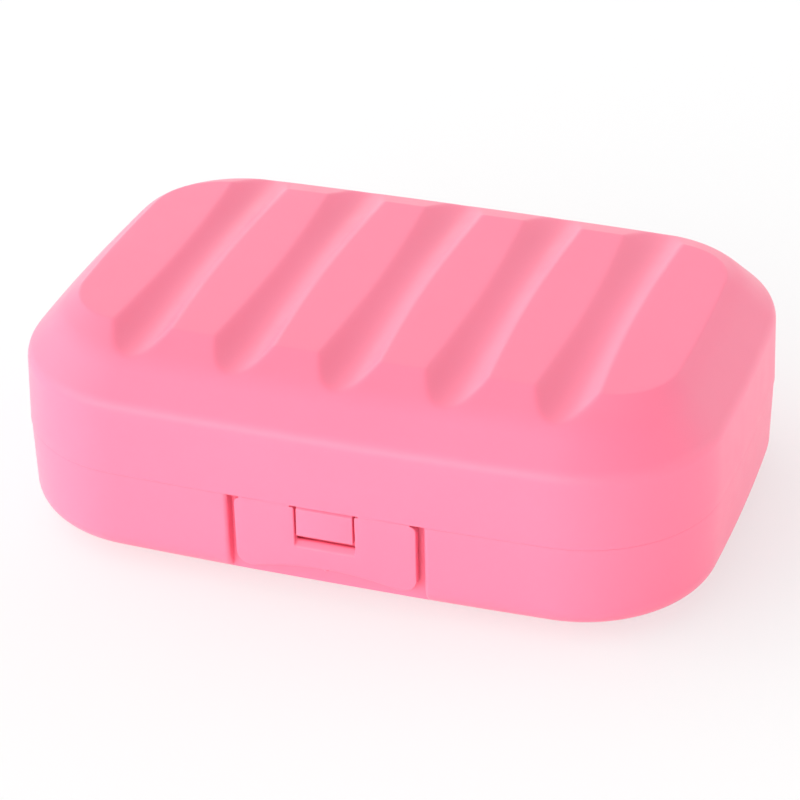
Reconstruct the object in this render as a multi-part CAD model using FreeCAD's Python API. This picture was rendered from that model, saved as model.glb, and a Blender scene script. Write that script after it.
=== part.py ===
"""Travel soap box: a hinged two-shell box with a fluted lid and a front latch flap.

Millimetres. +Z is up, +X is the box's right and the latch faces -Y. The origin is on the underside,
at the middle of the box's plan outline.
"""
import FreeCAD, Part
import math
import os
from collections import namedtuple

# Driving dimensions of the box
LENGTH = 115.0
WIDTH = 79.0
BASE_HEIGHT = 17.2
LID_WALL_HEIGHT = 12.1
SHOULDER_RISE = 7.7
CORNER_RADIUS = 22.3
SIDE_BOW = 1.4
END_BOW = 1.85
WALL = 1.8

# Underside of the base
BASE_STEP = 0.1
BASE_DRAFT_DEG = 1.3
KNEE_HEIGHT = 3.6
BEVEL_RUN = 7.3
KNEE_EASE = 2.4

# Rim joint: a lip on the base stands in a rabbet of the lid
RIM_SKIN = 0.7
LIP_INSET = 1.0
LIP_HEIGHT = 2.2
LIP_HEADROOM = 0.4

# Ribs that hold the soap off the floor
RIB_COUNT = 6
RIB_PITCH = 13.0
RIB_WIDTH = 2.0
RIB_HEIGHT = 2.6
RIB_LENGTH = 46.0

# Top of the lid: a flat plateau, a gentle slope down to the brow and a steep one to the crease
CREASE_INSET = 0.35
CREASE_EASE = 1.3
BROW_SIDE_RUN = 5.95
BROW_END_RUN = 4.95
BROW_DROP = 2.2
BROW_CORNER_RADIUS = 17.5
BROW_SIDE_BOW = 1.1
BROW_END_BOW = 1.4
BROW_EASE = 1.8
PLATEAU_SIDE_RUN = 13.05
PLATEAU_END_RUN = 7.65
PLATEAU_CORNER_RADIUS = 11.0
PLATEAU_SIDE_BOW = 0.9
PLATEAU_END_BOW = 1.0

# Flutes: hollow channels that are shallow in the middle and deepen towards the front and back
FLUTE_COUNT = 5
FLUTE_END_MARGIN = 15.0
FLUTE_RADIUS = 7.5
FLUTE_MIDDLE_DEPTH = 1.0
FLUTE_BROW_DEPTH = 2.3
FLUTE_LIP_RADIUS = 16.5
FLUTE_LIP_MIDDLE_DEPTH = 0.6
FLUTE_LIP_BROW_DEPTH = 1.35
FLUTE_TOUCH_SHARES = (-0.9, -0.45, 0, 0.45, 0.9)

# Latch flap, its recess and its catch
FLAP_WIDTH = 29.6
FLAP_HEIGHT = 12.4
FLAP_THICKNESS = 1.6
FLAP_BACK_GAP = 0.6
FLAP_SIDE_GAP = 1.2
FLAP_TOP_ROUND = 0.9
FLAP_CORNER_ROUND = 2.3
ARCH_SPAN = 23.6
ARCH_RISE = 1.45
GATE_RADIUS = 0.45
FILM_HEIGHT = 0.35
FILM_THICKNESS = 0.4
FILM_END_GAP = 0.5
WINDOW_DEPTH = 6.6
WINDOW_BEVEL = 0.9
CATCH_WIDTH = 9.2
CATCH_HEIGHT = 5.3
CATCH_SIDE_GAP = 0.5
CATCH_TOP_GAP = 0.15
CATCH_NOSE_INSET = 0.15
CATCH_LEAD_IN = 0.5

# Rear hinge
HINGE_SPACING = 52.0
PIN_RADIUS = 1.0
PIN_CLEARANCE = 0.06
KNUCKLE_RADIUS = 2.4
KNUCKLE_LENGTH = 9.0
KNUCKLE_WALL_GAP = 0.35
EAR_LENGTH = 4.0
EAR_SIDE_GAP = 0.3
WEB_REACH = 5.5
WEB_RIM_GAP = 0.3

# How far a cutting shape runs past what it cuts, and how many bands make up a rounded bend
OVERRUN = 5.0
EASE_BANDS = 3

# Levels and places that follow from the sizes above
PARTING_Z = BASE_HEIGHT
CREASE_Z = PARTING_Z + LID_WALL_HEIGHT
TOP_Z = CREASE_Z + SHOULDER_RISE
BROW_Z = TOP_Z - BROW_DROP
FRONT_Y = -WIDTH / 2
REAR_Y = WIDTH / 2
BASE_DRAFT = (BASE_HEIGHT - KNEE_HEIGHT) * math.tan(math.radians(BASE_DRAFT_DEG))
RECESS_DEPTH = FLAP_THICKNESS + FLAP_BACK_GAP
RECESS_Y = FRONT_Y + RECESS_DEPTH
RECESS_WIDTH = FLAP_WIDTH + 2 * FLAP_SIDE_GAP
WINDOW_WIDTH = CATCH_WIDTH + 2 * CATCH_SIDE_GAP
HINGE_Y = REAR_Y + KNUCKLE_WALL_GAP + KNUCKLE_RADIUS
HINGE_SIDES = {"left": -1, "right": 1}
EAR_OFFSET = KNUCKLE_LENGTH / 2 + EAR_SIDE_GAP + EAR_LENGTH / 2
PIN_LENGTH = KNUCKLE_LENGTH + 2 * (EAR_SIDE_GAP + EAR_LENGTH)

UPRIGHT = math.pi / 2
X_AXIS = FreeCAD.Vector(1, 0, 0)
Y_AXIS = FreeCAD.Vector(0, 1, 0)

# A level outline of the box: its overall size, its corners, how far its sides bulge, and its height
Ring = namedtuple("Ring", "length width corner_radius side_bow end_bow z")


def point(x, y, z):
    return FreeCAD.Vector(x, y, z)


def outline(ring):
    """The ring as a closed wire of eight tangent arcs: four long bowed sides and four corners."""
    z = ring.z
    half_length = ring.length / 2
    half_width = ring.width / 2
    side_radius = (half_length ** 2 + ring.side_bow ** 2) / (2 * ring.side_bow)
    end_radius = (half_width ** 2 + ring.end_bow ** 2) / (2 * ring.end_bow)
    side_centre = point(0, half_width - side_radius, z)
    end_centre = point(half_length - end_radius, 0, z)

    # The corner's centre lies where the two sides, moved in by the corner radius, cross
    centre_line = end_centre - side_centre
    distance = centre_line.Length
    side_reach = side_radius - ring.corner_radius
    end_reach = end_radius - ring.corner_radius
    along = (side_reach ** 2 - end_reach ** 2 + distance ** 2) / (2 * distance)
    across = math.sqrt(side_reach ** 2 - along ** 2)
    direction = centre_line / distance
    normal = point(direction.y, -direction.x, 0)
    corner_centre = side_centre + direction * along + normal * across

    to_side = (corner_centre - side_centre).normalize()
    to_end = (corner_centre - end_centre).normalize()
    side_end = side_centre + to_side * side_radius
    end_end = end_centre + to_end * end_radius
    corner_middle = corner_centre + (to_side + to_end).normalize() * ring.corner_radius

    def mirrored(p, sx, sy):
        return point(sx * p.x, sy * p.y, z)

    end_middle = point(half_length, 0, z)
    side_middle = point(0, half_width, z)
    arcs = [
        (mirrored(end_end, 1, -1), end_middle, end_end),
        (end_end, corner_middle, side_end),
        (side_end, side_middle, mirrored(side_end, -1, 1)),
        (mirrored(side_end, -1, 1), mirrored(corner_middle, -1, 1), mirrored(end_end, -1, 1)),
        (mirrored(end_end, -1, 1), mirrored(end_middle, -1, 1), mirrored(end_end, -1, -1)),
        (mirrored(end_end, -1, -1), mirrored(corner_middle, -1, -1), mirrored(side_end, -1, -1)),
        (mirrored(side_end, -1, -1), mirrored(side_middle, 1, -1), mirrored(side_end, 1, -1)),
        (mirrored(side_end, 1, -1), mirrored(corner_middle, 1, -1), mirrored(end_end, 1, -1)),
    ]
    return Part.Wire([Part.Arc(*arc).toShape() for arc in arcs])


def body_ring(inset, z):
    """The box's plan outline, moved in by inset."""
    return Ring(LENGTH - 2 * inset, WIDTH - 2 * inset, CORNER_RADIUS - inset, SIDE_BOW, END_BOW, z)


def brow_ring(inset, z):
    """The outline where the lid's slope turns from gentle to steep, moved in by inset."""
    length = LENGTH - 2 * (CREASE_INSET + BROW_END_RUN + inset)
    width = WIDTH - 2 * (CREASE_INSET + BROW_SIDE_RUN + inset)
    return Ring(length, width, BROW_CORNER_RADIUS - inset, BROW_SIDE_BOW, BROW_END_BOW, z)


def plateau_ring(inset, z):
    """The outline of the lid's flat top, moved in by inset."""
    length = LENGTH - 2 * (CREASE_INSET + PLATEAU_END_RUN + inset)
    width = WIDTH - 2 * (CREASE_INSET + PLATEAU_SIDE_RUN + inset)
    return Ring(length, width, PLATEAU_CORNER_RADIUS - inset, PLATEAU_SIDE_BOW, PLATEAU_END_BOW, z)


def between(first, second, share):
    """The ring that lies a share of the way from the first ring to the second."""
    return Ring(*[a + (b - a) * share for a, b in zip(first, second)])


def towards(ring, other, reach):
    """The ring that lies reach along the front face from one ring to the other."""
    return between(ring, other, reach / math.hypot((other.width - ring.width) / 2, other.z - ring.z))


def eased(before, corner, after, reach):
    """Rings that stand for the corner ring, with the bend there rounded over reach to both sides."""
    start = towards(corner, before, reach)
    end = towards(corner, after, reach)
    shares = [band / EASE_BANDS for band in range(EASE_BANDS + 1)]
    return [between(between(start, corner, s), between(corner, end, s), s) for s in shares]


def lofted(rings):
    return Part.makeLoft([outline(ring) for ring in rings], True, True)


def wall_shift(inner_slope, outer_slope):
    """How far in, and how far towards the room, an outside edge's twin lies on the inside of the wall.

    The slopes, from the horizontal, are those of the faces on the edge's inner and outer side.
    """
    reach = WALL / math.cos((outer_slope - inner_slope) / 2)
    bisector = (inner_slope + outer_slope) / 2
    return reach * math.sin(bisector), reach * math.cos(bisector)


def box_between(low, high):
    return Part.makeBox(high.x - low.x, high.y - low.y, high.z - low.z, low)


def prism_along_x(profile, width, centre_x=0):
    """A (y, z) polygon extruded by width along X, centred on centre_x."""
    corners = [point(centre_x - width / 2, y, z) for y, z in profile]
    face = Part.Face(Part.makePolygon(corners + corners[:1]))
    return face.extrude(X_AXIS * width)


def cylinder_along_x(radius, width, centre_x, y, z):
    return Part.makeCylinder(radius, width, point(centre_x - width / 2, y, z), X_AXIS)


# Base

def base_outer():
    """The base as a full block: drafted wall, rounded knee and bevelled underside."""
    rim = body_ring(BASE_STEP, PARTING_Z)
    knee = body_ring(BASE_STEP + BASE_DRAFT, KNEE_HEIGHT)
    bottom = body_ring(BASE_STEP + BASE_DRAFT + BEVEL_RUN, 0)
    return lofted([rim] + eased(rim, knee, bottom, KNEE_EASE) + [bottom])


def base_cavity():
    """The room inside the base, one wall thickness in from its outside."""
    slope = math.atan2(KNEE_HEIGHT, BEVEL_RUN)
    knee_inset, knee_rise = wall_shift(slope, UPRIGHT)
    floor_inset, floor_rise = wall_shift(0, slope)
    return lofted([
        body_ring(BASE_STEP + WALL, PARTING_Z + LIP_HEIGHT + OVERRUN),
        body_ring(BASE_STEP + WALL, PARTING_Z),
        body_ring(BASE_STEP + BASE_DRAFT + knee_inset, KNEE_HEIGHT + knee_rise),
        body_ring(BASE_STEP + BASE_DRAFT + BEVEL_RUN + floor_inset, floor_rise),
    ])


def rim_lip():
    """The block that the lip is left of when the cavity is cut."""
    inset = BASE_STEP + LIP_INSET
    return lofted([body_ring(inset, PARTING_Z - WALL), body_ring(inset, PARTING_Z + LIP_HEIGHT)])


def latch_recess():
    low = point(-RECESS_WIDTH / 2, FRONT_Y - OVERRUN, -OVERRUN)
    high = point(RECESS_WIDTH / 2, RECESS_Y, PARTING_Z + LIP_HEIGHT + OVERRUN)
    return box_between(low, high)


def recess_backing():
    """The wall that stands behind and beside the latch recess."""
    low = point(-RECESS_WIDTH / 2 - WALL, FRONT_Y - OVERRUN, 0)
    high = point(RECESS_WIDTH / 2 + WALL, RECESS_Y + WALL, PARTING_Z + LIP_HEIGHT)
    return box_between(low, high)


def catch():
    """The wedge that stands in the flap's window, thickest at its lower, holding edge."""
    root_y = RECESS_Y + WALL / 2
    nose_y = FRONT_Y + BASE_STEP + CATCH_NOSE_INSET
    top_z = PARTING_Z - CATCH_TOP_GAP
    profile = [
        (root_y, top_z),
        (nose_y + CATCH_LEAD_IN, top_z),
        (nose_y, top_z - CATCH_LEAD_IN),
        (nose_y, top_z - CATCH_HEIGHT),
        (root_y, top_z - CATCH_HEIGHT),
    ]
    return prism_along_x(profile, CATCH_WIDTH)


def soap_ribs():
    """Round-topped ribs across the floor, so that water drains between them."""
    top_z = WALL + RIB_HEIGHT
    shoulder_z = top_z - RIB_WIDTH / 2
    root_z = WALL / 2
    ribs = []
    for index in range(RIB_COUNT):
        x = (index - (RIB_COUNT - 1) / 2) * RIB_PITCH
        left = x - RIB_WIDTH / 2
        right = x + RIB_WIDTH / 2
        y = -RIB_LENGTH / 2
        sides = Part.makePolygon([point(left, y, shoulder_z), point(left, y, root_z),
                                  point(right, y, root_z), point(right, y, shoulder_z)])
        crown = Part.Arc(point(right, y, shoulder_z), point(x, y, top_z), point(left, y, shoulder_z))
        ribs.append(Part.Face(Part.Wire(sides.Edges + [crown.toShape()])).extrude(Y_AXIS * RIB_LENGTH))
    return ribs


# Hinge

def tangent_point(start, centre, radius, side):
    """Where the line from start touches the circle, on one side of the line of centres; (y, z) pairs."""
    dy = start[0] - centre[0]
    dz = start[1] - centre[1]
    angle = math.atan2(dz, dy) + side * math.acos(radius / math.hypot(dy, dz))
    return centre[0] + radius * math.cos(angle), centre[1] + radius * math.sin(angle)


def hinge_knuckle(width, centre_x, up):
    """A round knuckle and the web that ties it to its wall: up is 1 on the lid, -1 on the base."""
    root_y = REAR_Y - WALL / 2
    near = (root_y, PARTING_Z + up * WEB_RIM_GAP)
    far = (root_y, PARTING_Z + up * WEB_REACH)
    touch = tangent_point(far, (HINGE_Y, PARTING_Z), KNUCKLE_RADIUS, -up)
    web = prism_along_x([near, (HINGE_Y, near[1]), touch, far], width, centre_x)
    return cylinder_along_x(KNUCKLE_RADIUS, width, centre_x, HINGE_Y, PARTING_Z).fuse(web)


def hinge_bore(radius, centre_x):
    return cylinder_along_x(radius, PIN_LENGTH + 2 * OVERRUN, centre_x, HINGE_Y, PARTING_Z)


def hinge_pin(side):
    return cylinder_along_x(PIN_RADIUS, PIN_LENGTH, side * HINGE_SPACING / 2, HINGE_Y, PARTING_Z)


def base_shell():
    block = base_outer().fuse(rim_lip())
    cavity = base_cavity().cut(recess_backing())
    shell = block.cut([cavity, latch_recess()])
    ears = []
    bores = []
    for side in HINGE_SIDES.values():
        hinge_x = side * HINGE_SPACING / 2
        ears += [hinge_knuckle(EAR_LENGTH, hinge_x + end * EAR_OFFSET, -1) for end in (-1, 1)]
        bores.append(hinge_bore(PIN_RADIUS, hinge_x))
    return shell.fuse([catch()] + soap_ribs() + ears).cut(bores).removeSplitter()


# Lid

def lid_outer():
    """The lid as a full block: wall, rounded crease, two-slope shoulder and flat top."""
    rim = body_ring(0, PARTING_Z)
    crease = body_ring(CREASE_INSET, CREASE_Z)
    brow = brow_ring(0, BROW_Z)
    plateau = plateau_ring(0, TOP_Z)
    crease_bend = eased(rim, crease, brow, CREASE_EASE)
    brow_bend = eased(crease, brow, plateau, BROW_EASE)
    return lofted([rim] + crease_bend + brow_bend + [plateau])


def lid_cavity():
    """The room under the lid, one wall thickness in from its outside, before the flutes."""
    steep = math.atan2(SHOULDER_RISE - BROW_DROP, BROW_SIDE_RUN)
    gentle = math.atan2(BROW_DROP, PLATEAU_SIDE_RUN - BROW_SIDE_RUN)
    crease_inset, crease_drop = wall_shift(steep, UPRIGHT)
    brow_inset, brow_drop = wall_shift(gentle, steep)
    plateau_inset, plateau_drop = wall_shift(0, gentle)
    return lofted([
        body_ring(WALL, PARTING_Z - OVERRUN),
        body_ring(WALL, PARTING_Z),
        body_ring(CREASE_INSET + crease_inset, CREASE_Z - crease_drop),
        brow_ring(brow_inset, BROW_Z - brow_drop),
        plateau_ring(plateau_inset, TOP_Z - plateau_drop),
    ])


def rim_rabbet():
    return lofted([body_ring(RIM_SKIN, PARTING_Z - OVERRUN),
                   body_ring(RIM_SKIN, PARTING_Z + LIP_HEIGHT + LIP_HEADROOM)])


def flute_bars(radius, middle_depth, brow_depth, backing=0):
    """Straight round bars along each flute, each touching the crown of its floor at another place.

    The depths are those of the channel that the bars cut. Backing thickens them by as much all round.
    """
    first_x = FLUTE_END_MARGIN - plateau_ring(0, TOP_Z).length / 2
    pitch = -2 * first_x / (FLUTE_COUNT - 1)
    brow_y = brow_ring(0, BROW_Z).width / 2
    bars = []
    for index in range(FLUTE_COUNT):
        for share in FLUTE_TOUCH_SHARES:
            depth = middle_depth + (brow_depth - middle_depth) * share ** 2
            slope = -2 * (brow_depth - middle_depth) * share / brow_y
            axis_z = TOP_Z - depth + radius
            start_y = -WIDTH / 2
            start = point(first_x + index * pitch, start_y, axis_z + slope * (start_y - share * brow_y))
            run = point(0, WIDTH, slope * WIDTH)
            bars.append(Part.makeCylinder(radius + backing, run.Length, start, run))
    return bars


def flutes():
    """The channels, with a wider and shallower one over each that eases its lips."""
    lips = flute_bars(FLUTE_LIP_RADIUS, FLUTE_LIP_MIDDLE_DEPTH, FLUTE_LIP_BROW_DEPTH)
    return flute_bars(FLUTE_RADIUS, FLUTE_MIDDLE_DEPTH, FLUTE_BROW_DEPTH) + lips


def flute_backs():
    """The ridges under the lid that keep its wall thick below the channels."""
    return flute_bars(FLUTE_RADIUS, FLUTE_MIDDLE_DEPTH, FLUTE_BROW_DEPTH, WALL)


def lid_shell():
    cavity = lid_cavity().cut(flute_backs())
    shell = lid_outer().cut(flutes()).cut([cavity, rim_rabbet()])
    hinge_places = [side * HINGE_SPACING / 2 for side in HINGE_SIDES.values()]
    knuckles = [hinge_knuckle(KNUCKLE_LENGTH, x, 1) for x in hinge_places]
    bores = [hinge_bore(PIN_RADIUS + PIN_CLEARANCE, x) for x in hinge_places]
    return shell.fuse(knuckles).cut(bores).removeSplitter()


# Latch

def flap_plate():
    """The flap's rounded outline, as a block through the front wall."""
    low = point(-FLAP_WIDTH / 2, FRONT_Y - OVERRUN, PARTING_Z - FLAP_HEIGHT)
    high = point(FLAP_WIDTH / 2, FRONT_Y + FLAP_THICKNESS, PARTING_Z - FILM_HEIGHT)
    block = box_between(low, high)

    def corners_at(z):
        level_edges = [e for e in block.Edges if all(v.Z == z for v in e.Vertexes)]
        return [e for e in level_edges if e.BoundBox.XLength < e.Length / 2]

    block = block.makeFillet(FLAP_CORNER_ROUND, corners_at(low.z))
    return block.makeFillet(FLAP_TOP_ROUND, corners_at(high.z))


def finger_arch():
    """The arc that hollows the flap's lower edge."""
    radius = ((ARCH_SPAN / 2) ** 2 + ARCH_RISE ** 2) / (2 * ARCH_RISE)
    start = point(0, FRONT_Y - OVERRUN, PARTING_Z - FLAP_HEIGHT + ARCH_RISE - radius)
    return Part.makeCylinder(radius, FLAP_THICKNESS + 2 * OVERRUN, start, Y_AXIS)


def gate_mark():
    """The nub left on the arch by the mould's gate."""
    start = point(0, FRONT_Y + BASE_STEP + FLAP_THICKNESS / 4, PARTING_Z - FLAP_HEIGHT + ARCH_RISE)
    return Part.makeCylinder(GATE_RADIUS, FLAP_THICKNESS / 2, start, Y_AXIS)


def catch_window():
    """The opening that the catch stands in, with a bevel on its lower edge."""
    sill_z = PARTING_Z - WINDOW_DEPTH
    profile = [
        (FRONT_Y - OVERRUN, PARTING_Z + OVERRUN),
        (FRONT_Y + FLAP_THICKNESS + OVERRUN, PARTING_Z + OVERRUN),
        (FRONT_Y + FLAP_THICKNESS + OVERRUN, sill_z),
        (FRONT_Y + BASE_STEP + WINDOW_BEVEL, sill_z),
        (FRONT_Y + BASE_STEP, sill_z - WINDOW_BEVEL),
        (FRONT_Y - OVERRUN, sill_z - WINDOW_BEVEL),
    ]
    return prism_along_x(profile, WINDOW_WIDTH)


def latch_flap():
    """The flap, flush with the base's drafted wall, less its arch and window."""
    plate = base_outer().common(flap_plate())
    return plate.cut([finger_arch(), catch_window()]).fuse(gate_mark()).removeSplitter()


def latch_film(side):
    """One strip of the living hinge, from the lid's rim to the top of the flap."""
    inner = WINDOW_WIDTH / 2 + FILM_END_GAP
    outer = FLAP_WIDTH / 2 - FLAP_TOP_ROUND
    low_x = min(side * inner, side * outer)
    skin_y = FRONT_Y + BASE_STEP
    low = point(low_x, skin_y, PARTING_Z - FILM_HEIGHT)
    high = point(low_x + outer - inner, skin_y + FILM_THICKNESS, PARTING_Z)
    return box_between(low, high)


def pieces():
    named = {"base_shell": base_shell(), "lid_shell": lid_shell(), "latch_flap": latch_flap()}
    for name, side in HINGE_SIDES.items():
        named["latch_film_" + name] = latch_film(side)
        named["hinge_pin_" + name] = hinge_pin(side)
    return named


def main():
    os.makedirs("parts", exist_ok=True)
    for name, shape in pieces().items():
        if len(shape.Solids) != 1 or not shape.isValid():
            raise ValueError(name + " is not one valid solid")
        shape.Solids[0].exportStep(os.path.join("parts", name + ".step"))
        print(name, "volume", round(shape.Volume))


main()
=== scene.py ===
"""Looks of the travel soap box: moulded shells, latch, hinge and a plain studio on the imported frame."""
import math
from collections import namedtuple

import bmesh
import bpy
import numpy as np
from bpy.props import FloatProperty, FloatVectorProperty, IntProperty, PointerProperty
from mathutils import Matrix, Vector
from mathutils.geometry import delaunay_2d_cdt, tessellate_polygon


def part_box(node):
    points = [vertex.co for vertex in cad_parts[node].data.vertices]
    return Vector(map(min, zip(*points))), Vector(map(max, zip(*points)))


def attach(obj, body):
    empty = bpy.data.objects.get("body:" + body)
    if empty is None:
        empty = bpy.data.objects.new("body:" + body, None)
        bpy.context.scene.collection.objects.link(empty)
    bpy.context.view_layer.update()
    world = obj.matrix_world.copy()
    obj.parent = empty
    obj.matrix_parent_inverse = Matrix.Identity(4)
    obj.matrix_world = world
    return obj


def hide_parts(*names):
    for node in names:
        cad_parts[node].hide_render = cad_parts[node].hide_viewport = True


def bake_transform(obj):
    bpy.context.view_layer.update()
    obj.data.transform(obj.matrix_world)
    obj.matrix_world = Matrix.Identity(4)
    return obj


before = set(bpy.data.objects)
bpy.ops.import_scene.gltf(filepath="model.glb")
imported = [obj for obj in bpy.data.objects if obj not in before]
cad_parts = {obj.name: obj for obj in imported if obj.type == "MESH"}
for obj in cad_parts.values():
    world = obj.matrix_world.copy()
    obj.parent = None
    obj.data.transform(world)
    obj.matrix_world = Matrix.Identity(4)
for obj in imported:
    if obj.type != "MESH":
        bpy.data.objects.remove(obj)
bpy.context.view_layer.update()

bl_info = {
    "name": "Travel soap box",
    "version": (1, 0, 0),
    "blender": (4, 5, 0),
    "location": "View3D > Sidebar > Soap box",
    "description": "Dresses the packed soap box: moulded shells, latch, hinge and a plain studio",
    "category": "Object",
}

MM = 0.001

# What the frame says, to a tenth of a millimetre
FRAME_DIGITS = 4


def frame_box(node):
    """The low and the high corner of a CAD node's box, rounded."""
    return [Vector([round(v, FRAME_DIGITS) for v in corner]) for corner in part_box(node)]


LID_LOW, LID_HIGH = frame_box("lid_shell")
BASE_BACK = frame_box("base_shell")[1].y
FLAP_LOW, FLAP_HIGH = frame_box("latch_flap")
PIN_LOW, PIN_HIGH = frame_box("hinge_pin_right")
PIN_CENTRE = (PIN_LOW + PIN_HIGH) / 2

# How finely the meshes are divided
CORNER_STEPS = 30
END_STEPS = 44
LID_SIDE_STEPS = 190
RECESS_POINTS = 36
OUTER_SIDE_POINTS = 44
ARC_STEPS = 8
CIRCLE_STEPS = 48
BEVEL_STEPS = 3
ARCH_POINTS = 33
FLAP_EDGE_POINTS = 7
FLAP_ROUND_POINTS = 6
FLAP_SPACING = MM
FILM_POINTS = 13
GATE_SIDES = 24
GATE_BANDS = 12

# Edges that bend by more than this stay sharp
SHARP_DEGREES = 38
# A bevel's profile that is a true arc
ROUND_PROFILE = 0.5
# Places closer than this count as one
SAME_PLACE = MM / 100


# Settings

LENGTH_DIGITS = 5


def framed(label, metres, description):
    """A length that comes from the frame, in metres."""
    return FloatProperty(name=label, description=description, default=metres,
                         unit="LENGTH", precision=LENGTH_DIGITS)


def size(label, millimetres, description):
    """A length that is set here, given in millimetres."""
    return framed(label, millimetres * MM, description)


def angle(label, degrees, description):
    return FloatProperty(name=label, description=description, default=math.radians(degrees),
                         subtype="ANGLE")


def colour(label, values, description):
    return FloatVectorProperty(name=label, description=description, default=values,
                               subtype="COLOR", min=0, max=1)


def share(label, value, description):
    return FloatProperty(name=label, description=description, default=value,
                         subtype="FACTOR", min=0, max=1)


def plain_number(label, value, description):
    return FloatProperty(name=label, description=description, default=value)


def whole_number(label, value, description):
    return IntProperty(name=label, description=description, default=value)


class ShellSizes(bpy.types.PropertyGroup):
    """The outline and walls that both shells share"""
    length: framed("Length", LID_HIGH.x - LID_LOW.x, "Overall length of the box")
    width: framed("Width", -2 * LID_LOW.y, "Overall width of the box")
    parting: framed("Parting height", PIN_CENTRE.z, "Height of the line between base and lid")
    corner_radius: size("Corner radius", 22.3, "Radius of the plan corners")
    side_bow: size("Side bow", 1.4, "How far the front and back bulge")
    end_bow: size("End bow", 1.85, "How far the two ends bulge")
    wall: size("Wall", 1.8, "Wall thickness")
    rim_skin: size("Rim skin", 0.7, "Thickness of the lid's wall beside the base's lip")
    lip_inset: size("Lip inset", 1.0, "How far the base's lip stands in from its outside")
    lip_height: size("Lip height", 2.2, "How far the lip reaches into the lid")
    lip_headroom: size("Lip headroom", 0.4, "Room above the lip")
    rim_round: size("Rim round", 0.3, "Rounding of the rims' outer edges")


class LidSizes(bpy.types.PropertyGroup):
    """The lid's shoulder, flat top and flutes"""
    top: framed("Top", LID_HIGH.z, "Height of the flat top")
    shoulder_rise: size("Shoulder rise", 7.7, "Height of the shoulder above the crease")
    crease_inset: size("Crease inset", 0.35, "How far the wall leans in up to the crease")
    crease_ease: size("Crease ease", 1.4, "How far the crease's rounding reaches")
    brow_side_run: size("Brow side run", 5.95, "Level run from crease to brow at the sides")
    brow_end_run: size("Brow end run", 4.95, "Level run from crease to brow at the ends")
    brow_drop: size("Brow drop", 2.2, "How far the brow lies under the top")
    brow_corner_radius: size("Brow corner radius", 17.5, "Radius of the brow's plan corners")
    brow_side_bow: size("Brow side bow", 1.1, "How far the brow bulges at the sides")
    brow_end_bow: size("Brow end bow", 1.4, "How far the brow bulges at the ends")
    brow_ease: size("Brow ease", 2.2, "How far the brow's rounding reaches")
    plateau_side_run: size("Top side run", 13.05, "Level run from crease to flat top at the sides")
    plateau_end_run: size("Top end run", 7.65, "Level run from crease to flat top at the ends")
    plateau_corner_radius: size("Top corner radius", 11.0, "Radius of the flat top's plan corners")
    plateau_side_bow: size("Top side bow", 0.9, "How far the flat top bulges at the sides")
    plateau_end_bow: size("Top end bow", 1.0, "How far the flat top bulges at the ends")
    plateau_ease: size("Top ease", 0.45, "How far the rounding of the flat top's edge reaches")
    flute_count: whole_number("Flutes", 5, "Number of flutes across the top")
    flute_end_margin: size("Flute margin", 15.0, "From the end of the flat top to the first flute")
    flute_radius: size("Flute radius", 7.3, "Radius of a flute's section")
    flute_middle_depth: size("Flute depth", 1.05, "Depth of a flute in the middle of the lid")
    flute_brow_depth: size("Flute brow depth", 2.3, "Depth of a flute where it runs out at the brow")
    flute_lip_blend: size("Flute lip blend", 0.3, "Height over which a flute's lips are rounded")


class BaseSizes(bpy.types.PropertyGroup):
    """The base's underside, latch recess and soap ribs"""
    step: size("Step", 0.1, "How far the base stands in from the lid")
    draft: angle("Draft", 1.3, "Lean of the base's wall")
    knee_height: size("Knee height", 3.6, "Height of the bend between wall and underside")
    bevel_run: size("Bevel run", 7.3, "Level run of the sloping underside")
    knee_ease: size("Knee ease", 2.6, "How far the knee's rounding reaches")
    bottom_ease: size("Bottom ease", 1.0, "How far the rounding of the bottom edge reaches")
    recess_depth: size("Recess depth", 2.2, "How far the latch recess is set back")
    slot_gap: size("Slot gap", 1.2, "Slot on each side of the flap")
    slot_round: size("Slot round", 0.75, "Rounding of the slots' outer edges")
    slot_lean: size("Slot lean", 0.15, "How far a slot's side leans in towards its back")
    lip_set_back: size("Lip set-back", 0.2, "How far the lip stands back behind the latch recess")
    rib_count: whole_number("Ribs", 6, "Number of ribs that carry the soap")
    rib_pitch: size("Rib pitch", 13.0, "Distance between ribs")
    rib_width: size("Rib width", 2.0, "Width of a rib")
    rib_height: size("Rib height", 2.6, "Height of a rib over the floor")
    rib_length: size("Rib length", 46.0, "Length of a rib")
    rib_end_round: size("Rib end round", 0.6, "Rounding of a rib's ends")


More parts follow.
